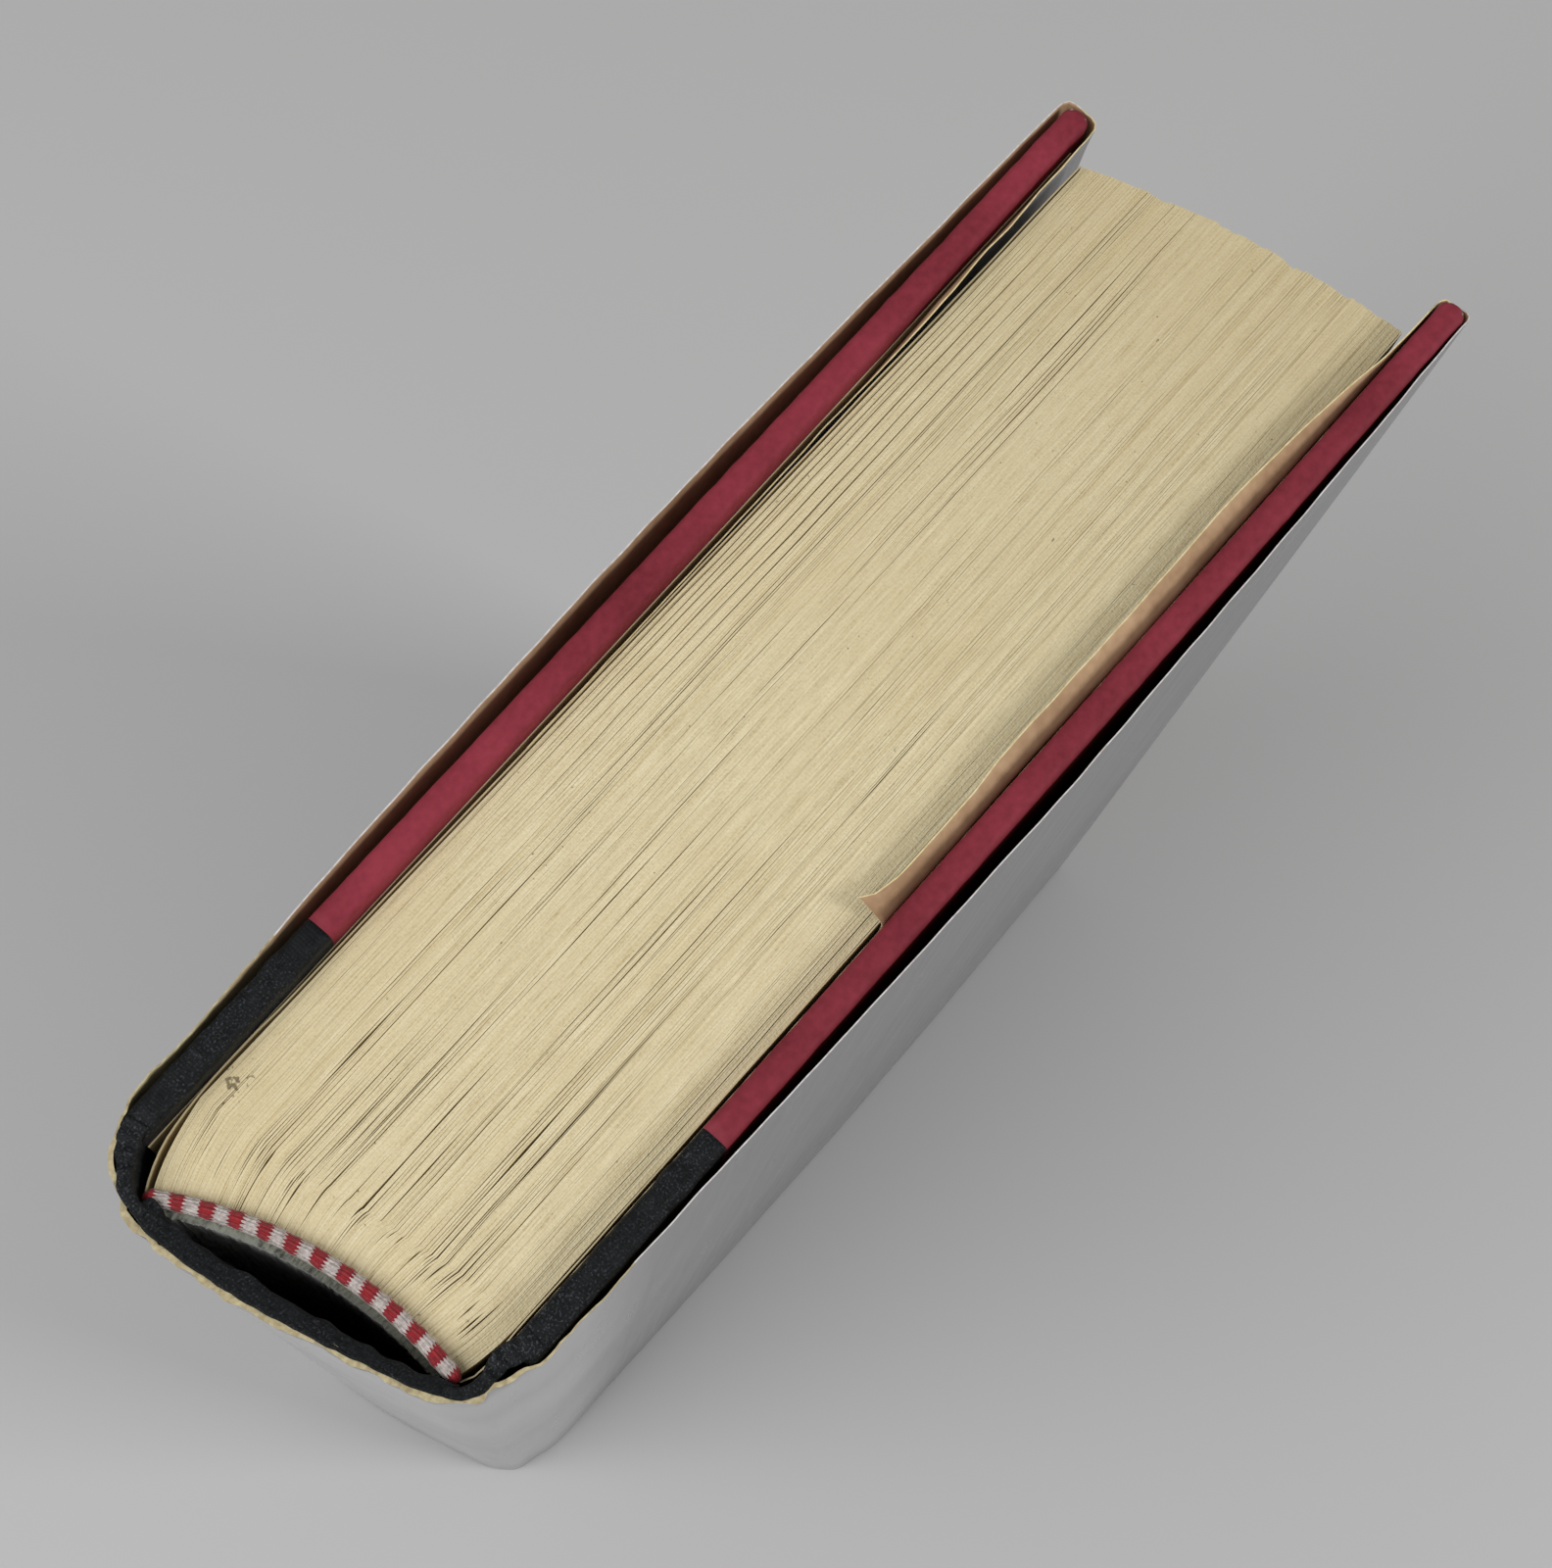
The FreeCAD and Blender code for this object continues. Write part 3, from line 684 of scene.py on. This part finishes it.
def covered_board(side, near, far, turned_end, rounding, steps, wear):
    """Covering of a stretch of a board, rounded and puckered at its turned-in end and along head and tail."""
    wrap = bmesh.new()
    bmesh.ops.create_cube(wrap, size=1.0)
    turned = [e for e in wrap.edges if all(v.co.x * turned_end > 0 for v in e.verts)
              and abs(e.verts[0].co.z - e.verts[1].co.z) > 0.5]
    low_v, high_v = cover_slack, board_thick - cover_slack / 2
    for vert in wrap.verts:
        vert.co = Vector((near + (vert.co.x + 0.5) * (far - near), low_v + (vert.co.y + 0.5) * (high_v - low_v),
                          (vert.co.z + 0.5) * cover_height))
    bmesh.ops.bevel(wrap, geom=turned, offset=rounding, segments=5, profile=0.5, affect="EDGES", material=-1)
    cuts = [((near + (far - near) * k / steps, 0, 0), (1, 0, 0)) for k in range(1, steps)]
    cuts += [((0, 0, z), (0, 0, 1)) for down in (2, 5, 10, 20, 60, 120) for z in (down, cover_height - down)]
    for spot, way in cuts:
        bmesh.ops.bisect_plane(wrap, geom=wrap.verts[:] + wrap.edges[:] + wrap.faces[:],
                               plane_co=spot, plane_no=way)
    butt = near if turned_end > 0 else far
    level = [e for e in wrap.edges if e.calc_face_angle(0) > 1.0
             and (all(v.co.z < 0.01 for v in e.verts) or all(v.co.z > cover_height - 0.01 for v in e.verts))
             and not all(abs(v.co.x - butt) < 0.01 for v in e.verts)]
    bmesh.ops.bevel(wrap, geom=level, offset=head_round, segments=4, profile=0.5, affect="EDGES", material=-1)
    tip = far if turned_end > 0 else near
    for vert in wrap.verts:
        u, v, z = vert.co
        edge = min(z, cover_height - z)
        up = 1 if z > cover_height / 2 else -1
        pucker = (0.04 + wear * math.exp(-edge / 4)) * min(1.0, abs(u - butt) / 3)
        v += pucker * wave(u * 0.4, z * 0.15, 11.0) * (1 if v > board_thick / 2 else -1)
        z += pucker * 1.2 * wave(u * 0.45, v * 0.6, 12.0) - up * 0.12 * math.exp(-edge)
        z -= up * 0.5 * math.exp(-abs(u - tip) / 1.6 - edge)
        point = beside(side, u, v)
        vert.co = place(point.x, point.y, max(0.0, z))
    bmesh.ops.recalc_face_normals(wrap, faces=list(wrap.faces))
    for face in wrap.faces:
        face.smooth = True
    return wrap


raspberry = raspberry_paper()
# Grey millboard pasted from recycled fibres, rough and dull where it isn't covered
board = matted_fibres("grey_millboard", 500.0, 5.0, "6B6358", "918878", 0.9)
for side in ("front", "back"):
    wrap = covered_board(side, cloth_from[side], cloth_reach, -1, spine_round, 40, 0.22)
    wrap_piece = make_piece(side + "_board_cloth", wrap, [black_cloth])
    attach(wrap_piece, side + "_cover")
    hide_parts(side + "_cloth")
    wrap = covered_board(side, cloth_reach, board_wide, 1, fore_round, 90, 0.08)
    wrap_piece = make_piece(side + "_board_paper", wrap, [raspberry])
    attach(wrap_piece, side + "_cover")
    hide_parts(side + "_paper")
    core = bmesh.new()
    bmesh.ops.create_cube(core, size=1.0)
    for vert in core.verts:
        point = beside(side, core_inset + (vert.co.x + 0.5) * (board_wide - 2 * core_inset),
                       core_inset + (vert.co.y + 0.5) * (board_thick - 2 * core_inset))
        vert.co = place(point.x, point.y, core_inset + (vert.co.z + 0.5) * (cover_height - 2 * core_inset))
    bmesh.ops.recalc_face_normals(core, faces=list(core.faces))
    core_piece = make_piece(side + "_millboard", core, [board])
    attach(core_piece, side + "_cover")
    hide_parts(side + "_board")
    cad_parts[side + "_pastedown"].data.materials.clear()
    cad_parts[side + "_pastedown"].data.materials.append(endpaper)
card_heights = [card_inset + (cover_height - 2 * card_inset) * k / 12 for k in range(13)]
card_mesh, *_ = stand_sheet(spine_route[6:-6], card_heights, card_thick, lambda s, z, point: (card_depth, 0.0))
spine_card = make_piece("spine_card", card_mesh, [board])
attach(spine_card, "book_block")
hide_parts("spine_inlay")

# Jacket: one sheet of coated paper wrapped round the case, glossy pale grey outside and toned tan inside.
# Its cut head is wavy and nicked, it pinches at the joints, and its front flap leans out over the leaves.
sheet_thick, worn_thick, flap_long = 0.15, 0.75, 98
jacket_low, jacket_high = 0.4, cover_height - 0.4


def panel_points(side, bow):
    """Plan points of the jacket's outer face over a board, round its fore-edge and in to the flap's end."""
    spots = [(u, -0.3 - bow * (1 - ((u - 77) / 79) ** 2) ** 1.4) for u in (20 + 16.5 * k for k in range(9))]
    spots += [(154.3, -0.35), (155.2, -0.25), (155.75, 0.2), (155.9, 0.9), (155.9, 2.6), (155.75, 3.25),
              (155.1, 3.65), (154.2, 3.72)]
    spots += [(u, 3.78) for u in (151, 142, 130, 115, 100, 85, 70, 61, 55.7)]
    return [beside(side, u, v) for u, v in spots]


def coated_paper():
    """Clay-coated paper: pale, glossy and scuffed, greyed away from the spine by painted shade and reflection,
    darker in patches at its head.
    """
    material, tree, shader, where = start_material("coated_jacket_paper", "flat_place")
    upright = add_node(tree, "Mapping", {"Vector": where, "Scale": (1, 1, 0.05)})
    scuff = add_node(tree, "TexNoise", {"Vector": upright, "Scale": 420.0, "Detail": 4.0})
    cloud = add_node(tree, "TexNoise", {"Vector": where, "Scale": 18.0, "Detail": 3.0})
    mixed = add_node(tree, "Math", {0: scuff, 1: 0.4, 2: cloud}, operation="MULTIPLY_ADD")
    tone = add_node(tree, "ValToRGB", {"Fac": mixed}, stops=((0.4, "868487"), (0.9, "B0AEB0")))
    place_on_book = add_node(tree, "SeparateXYZ", {"Vector": where}).outputs
    across, height = place_on_book["X"], place_on_book["Z"]
    # Painted shade and painted reflection of the floor: the panels beyond the spine's corner are mixed towards
    # dark grey
    panel_painted_shade = add_node(tree, "MapRange", {"Value": across, "From Min": -0.064, "From Max": -0.052,
                                        "To Max": 0.68})
    tone = add_node(tree, "Mix", {0: panel_painted_shade, 6: tone, 7: linear("565457")}, data_type="RGBA").outputs[2]
    dirt = add_node(tree, "TexVoronoi", {"Vector": where, "Scale": 240.0})
    fleck = add_node(tree, "Math", {0: dirt, 1: 0.055}, operation="LESS_THAN")
    fleck = add_node(tree, "Math", {0: fleck, 1: cloud}, operation="MULTIPLY")
    colour = add_node(tree, "Mix", {0: fleck, 6: tone, 7: linear("3E3C3C")}, data_type="RGBA").outputs[2]
    # Darker in patches near the head, at the spine
    near_head = add_node(tree, "MapRange", {"Value": height, "From Min": 0.2335, "From Max": 0.2405})
    at_spine = add_node(tree, "MapRange", {"Value": across, "From Min": -0.068, "From Max": -0.076})
    head_darkening = add_node(tree, "Math", {0: near_head, 1: at_spine}, operation="MULTIPLY")
    blotch = add_node(tree, "TexNoise", {"Vector": where, "Scale": 260.0, "Detail": 3.0})
    patch = add_node(tree, "MapRange", {"Value": blotch, "From Min": 0.4, "From Max": 0.6})
    head_darkening = add_node(tree, "Math", {0: head_darkening, 1: patch}, operation="MULTIPLY")
    colour = add_node(tree, "Mix", {0: head_darkening, 6: colour, 7: linear("4A4743")}, data_type="RGBA").outputs[2]
    rough = add_node(tree, "MapRange", {"Value": scuff, "To Min": 0.2, "To Max": 0.42})
    bump = add_node(tree, "Bump", {"Height": scuff, "Strength": 0.12, "Distance": 0.00005})
    add_node(tree, shader, {"Base Color": colour, "Normal": bump, "Roughness": rough, "Specular IOR Level": 0.5,
                            "Coat Weight": 0.25, "Coat Roughness": 0.15})
    return material


def bare_inside():
    """Uncoated back of the jacket's sheet: toned pinkish tan by age, and greyer over the spine."""
    material, tree, shader, where = start_material("bare_jacket_inside", "flat_place")
    felt = add_node(tree, "TexNoise", {"Vector": where, "Scale": 700.0, "Detail": 4.0})
    cloud = add_node(tree, "TexNoise", {"Vector": where, "Scale": 70.0, "Detail": 2.0})
    mixed = add_node(tree, "Math", {0: felt, 1: 0.6, 2: cloud}, operation="MULTIPLY_ADD")
    tan = add_node(tree, "ValToRGB", {"Fac": mixed}, stops=((0.55, "A28263"), (1.0, "C4A582")))
    grey = add_node(tree, "ValToRGB", {"Fac": mixed}, stops=((0.55, "8E8462"), (1.0, "BDB189")))
    across = add_node(tree, "SeparateXYZ", {"Vector": where}).outputs["X"]
    share = add_node(tree, "MapRange", {"Value": across, "From Min": -0.055, "From Max": -0.07})
    colour = add_node(tree, "Mix", {0: share, 6: tan, 7: grey}, data_type="RGBA").outputs[2]
    add_node(tree, shader, {"Base Color": colour, "Roughness": 0.85, "Specular IOR Level": 0.2})
    return material


printed = coated_paper()
bare = bare_inside()
# Cut edges of the sheet, furred: worn and toned at the spine, clean on the panels, cream on the flaps
worn_edge, clean_edge, flap_edge = (
    matted_fibres(name, 1400.0, 3.0, dark, light, 0.85)
    for name, dark, light in (("worn_toned_jacket_edge", "96896A", "C3B792"),
                              ("clean_jacket_edge", "BAB4B0", "DEDADA"),
                              ("toned_flap_edge", "CDB984", "EBDDB0")))
pinches = (Vector((1.5, -2.8)), Vector((-8.7, 37.2)))
flap_bend, slip_from = head + 0.3, 222.0
jacket_heights = [jacket_low, 1.4, 4, 12, 35, 80, 125, 170, 205, 222, 231, 235.5, 237.6, flap_bend, 238.9,
                  239.4, 239.9, 240.4, jacket_high]
# How far each flap's head leans out over the leaves, as share from the fold to the free end and millimetres
flap_leans = {"front": ((0.0, 0.0), (0.06, 0.1), (0.10, 0.35), (0.17, 1.2), (0.27, 2.05), (0.35, 2.4),
                        (0.57, 2.3), (0.78, 2.2), (0.83, 1.85), (0.86, 1.9), (0.955, 1.95), (0.985, 2.5),
                        (1.0, 3.5)),
              "back": ((0.0, 0.1), (0.06, 0.4), (0.1, 0.25), (0.16, 0.6), (0.2, 0.45), (0.27, 0.75),
                       (0.35, 0.6), (0.42, 0.3), (0.5, 0.15), (1.0, 0.1))}
# How far each flap's head has slipped down, near its fold and at its free end
flap_drops = {"front": (0.35, 0.35), "back": (0.9, 2.7)}


def over_flap(side, share):
    """Lean of a flap's head at a share of its length, read from its list."""
    stops = flap_leans[side]
    for (start, low), (end, high) in zip(stops, stops[1:]):
        if share <= end:
            return low + (high - low) * (share - start) / (end - start)
    return stops[-1][1]


def jacket_wave(side, s, z, point, flap_from, flap_to):
    """How the sheet leaves its smooth route: cockled head, pinches at the joints, lean and slip of a flap."""
    top = math.exp((z - jacket_high) / 6)
    foot = math.exp((jacket_low - z) / 6)
    spine_side = 1 / (1 + math.exp((point.x - 12) / 4))
    cockle = 0.08 + 0.30 * spine_side
    move = (top + 0.3 * foot) * cockle * wave(point.x * 0.22, point.y * 0.22, 1.0)
    move += top * 0.4 * spine_side * wave(point.x * 0.6, point.y * 0.6, 4.0)
    move += 0.16 * wave(point.x * 0.05, point.y * 0.05, z * 0.012)
    for pinch in pinches:
        move += 0.4 * math.exp(-((point - pinch).length / 0.75) ** 2) * top
    lift = -(0.05 + 0.18 * spine_side) * abs(wave(point.x * 0.35, point.y * 0.35, 6.0)) * top
    lift -= 0.3 * spine_side * max(0.0, wave(point.x * 1.1, point.y * 1.1, 8.0) - 0.2) * top
    if side == "back":
        move -= 0.45 * top * (1 - spine_side)
    tip = math.exp(-((s - flap_from + 2.6) / 3.6) ** 2)
    lift -= (1.5 + 0.8 * wave(s * 0.8, 2.0, 2.0)) * tip * top
    if s > flap_from and z > slip_from:
        share = (s - flap_from) / (flap_to - flap_from)
        near_fold, near_end = flap_drops[side]
        slipped = near_fold + (near_end - near_fold) * max(0.0, min(1.0, (share - 0.28) / 0.14))
        lift -= slipped * min(1.0, share * 3) * (z - slip_from) / (jacket_high - slip_from)
    if s > flap_from and z > flap_bend:
        over = ((z - flap_bend) / (jacket_high - flap_bend)) ** 1.7
        move -= over_flap(side, share) * over * (1 + 0.06 * wave(s * 0.12, 5.0))
    return move, lift


def jacket_depth(s, z):
    """Thickness of the sheet, which has split and thickened along its worn head at the spine."""
    worn = 1 / (1 + math.exp((s - 25) / 2.5))
    patchy = 0.9 + 0.4 * wave(s * 0.45, 1.0, 3.0)
    return sheet_thick + worn_thick * worn * patchy * math.exp((z - jacket_high) / 2)


jacket_spine = [(-7.35, 17.3), (-5.75, 11.2), (-4.05, 5.2), (-3.0, 2.0), (-1.8, -0.1), (-0.1, -1.9),
                (1.9, -2.6), (4.0, -3.2), (7.0, -4.15), (12.0, -4.6)]
jacket_back_spine = [(-7.35, 17.3), (-8.6, 23.0), (-9.4, 28.5), (-9.75, 33.0), (-9.35, 36.0), (-8.4, 38.0),
                     (-7.1, 39.8), (-5.3, 41.4), (-3.4, 42.6), (-0.8, 43.25), (4.0, 43.5)]
for side, spine, bow in (("front", jacket_spine, 1.3), ("back", jacket_back_spine, 1.5)):
    path = smooth_path(spine + panel_points(side, bow), 0.7)
    length = (path[1] - path[0]).length * (len(path) - 1)
    flap_from, flap_to = length - flap_long, length
    inward = 1 if side == "front" else -1

    def shift(s, z, point):
        """The sheet's wave, turned to the side that is inward here."""
        move, lift = jacket_wave(side, s, z, point, flap_from, flap_to)
        return move * inward, lift

    jacket_mesh, outside, inside, rim = stand_sheet(
        path, jacket_heights, lambda s, z: inward * jacket_depth(s, z), shift)
    for index, faces in enumerate((outside, inside, rim)):
        for face in faces:
            face.material_index = index
            face.smooth = index < 2
    corner, splay, _ = frames[side]
    across = Vector((-math.sin(math.radians(splay)), math.cos(math.radians(splay)))) * inward
    for face in rim:
        middle = (face.calc_center_median() - place(0, 0, 0)) / mm
        if middle.x > 20:
            face.material_index = 3 if (middle.xy - corner).dot(across) < 1.0 else 4
    jacket = make_piece(side + "_jacket", jacket_mesh, [printed, bare, worn_edge, clean_edge, flap_edge])
    # Keeps each point's place on the closed book, so the printed tone and the painted shade stay with the sheet
    # as a cover opens
    kept = jacket.data.attributes.new("flat_place", "FLOAT_VECTOR", "POINT")
    kept.data.foreach_set("vector", [value for vert in jacket.data.vertices for value in vert.co])
    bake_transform(jacket)
    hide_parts("jacket_" + side)
    if side == "front":
        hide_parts("jacket_spine")

# Floor and light: a plain pale grey surface in an even pale room, with a broad soft light high on the left of
# the picture and a smaller one high on its right.
floor_size = 3.0
floor_mesh = bmesh.new()
bmesh.ops.create_grid(floor_mesh, x_segments=1, y_segments=1, size=floor_size / 2)
floor_material, floor_tree, floor_shader, _ = start_material("pale_grey_table")
add_node(floor_tree, floor_shader,
         {"Base Color": linear("BEBEBE"), "Roughness": 0.6, "Specular IOR Level": 0.3})
floor = make_piece("table_top", floor_mesh, [floor_material])

world = bpy.data.worlds.new("pale_room")
world.use_nodes = True
add_node(world.node_tree, world.node_tree.nodes["Background"], {"Color": linear("FAFAFA"), "Strength": 0.35})
bpy.context.scene.world = world


def soft_light(name, spot, size, power):
    """Square area light at a place in metres, turned to the book."""
    light = bpy.data.lights.new(name, "AREA")
    light.size = size
    light.energy = power
    lamp = bpy.data.objects.new(name, light)
    lamp.location = spot
    lamp.rotation_euler = (Vector((0, 0, 0.12)) - Vector(spot)).to_track_quat("-Z", "Y").to_euler()
    bpy.context.scene.collection.objects.link(lamp)


soft_light("window_light", (-0.60, 0.24, 0.86), 0.6, 5.6)
soft_light("side_light", (0.45, -0.85, 0.88), 0.35, 5.4)

# Camera: hand-held above the spine end, looking almost straight down the height of the book
lens, film = 56.0, 36.0
camera_spot = (-0.08076, -0.03678, 0.48378)
tilt, roll, turn = math.radians(17.14), math.radians(-4.85), math.radians(-49.12)
camera_data = bpy.data.cameras.new("photo_camera")
camera_data.lens = lens
camera_data.sensor_width = film
camera_data.clip_start = 0.01
camera = bpy.data.objects.new("photo_camera", camera_data)
camera.location = camera_spot
camera.rotation_euler = (tilt, roll, turn)
bpy.context.scene.collection.objects.link(camera)
bpy.context.scene.camera = camera
bpy.context.scene.view_settings.view_transform = "Standard"

bpy.context.view_layer.update()
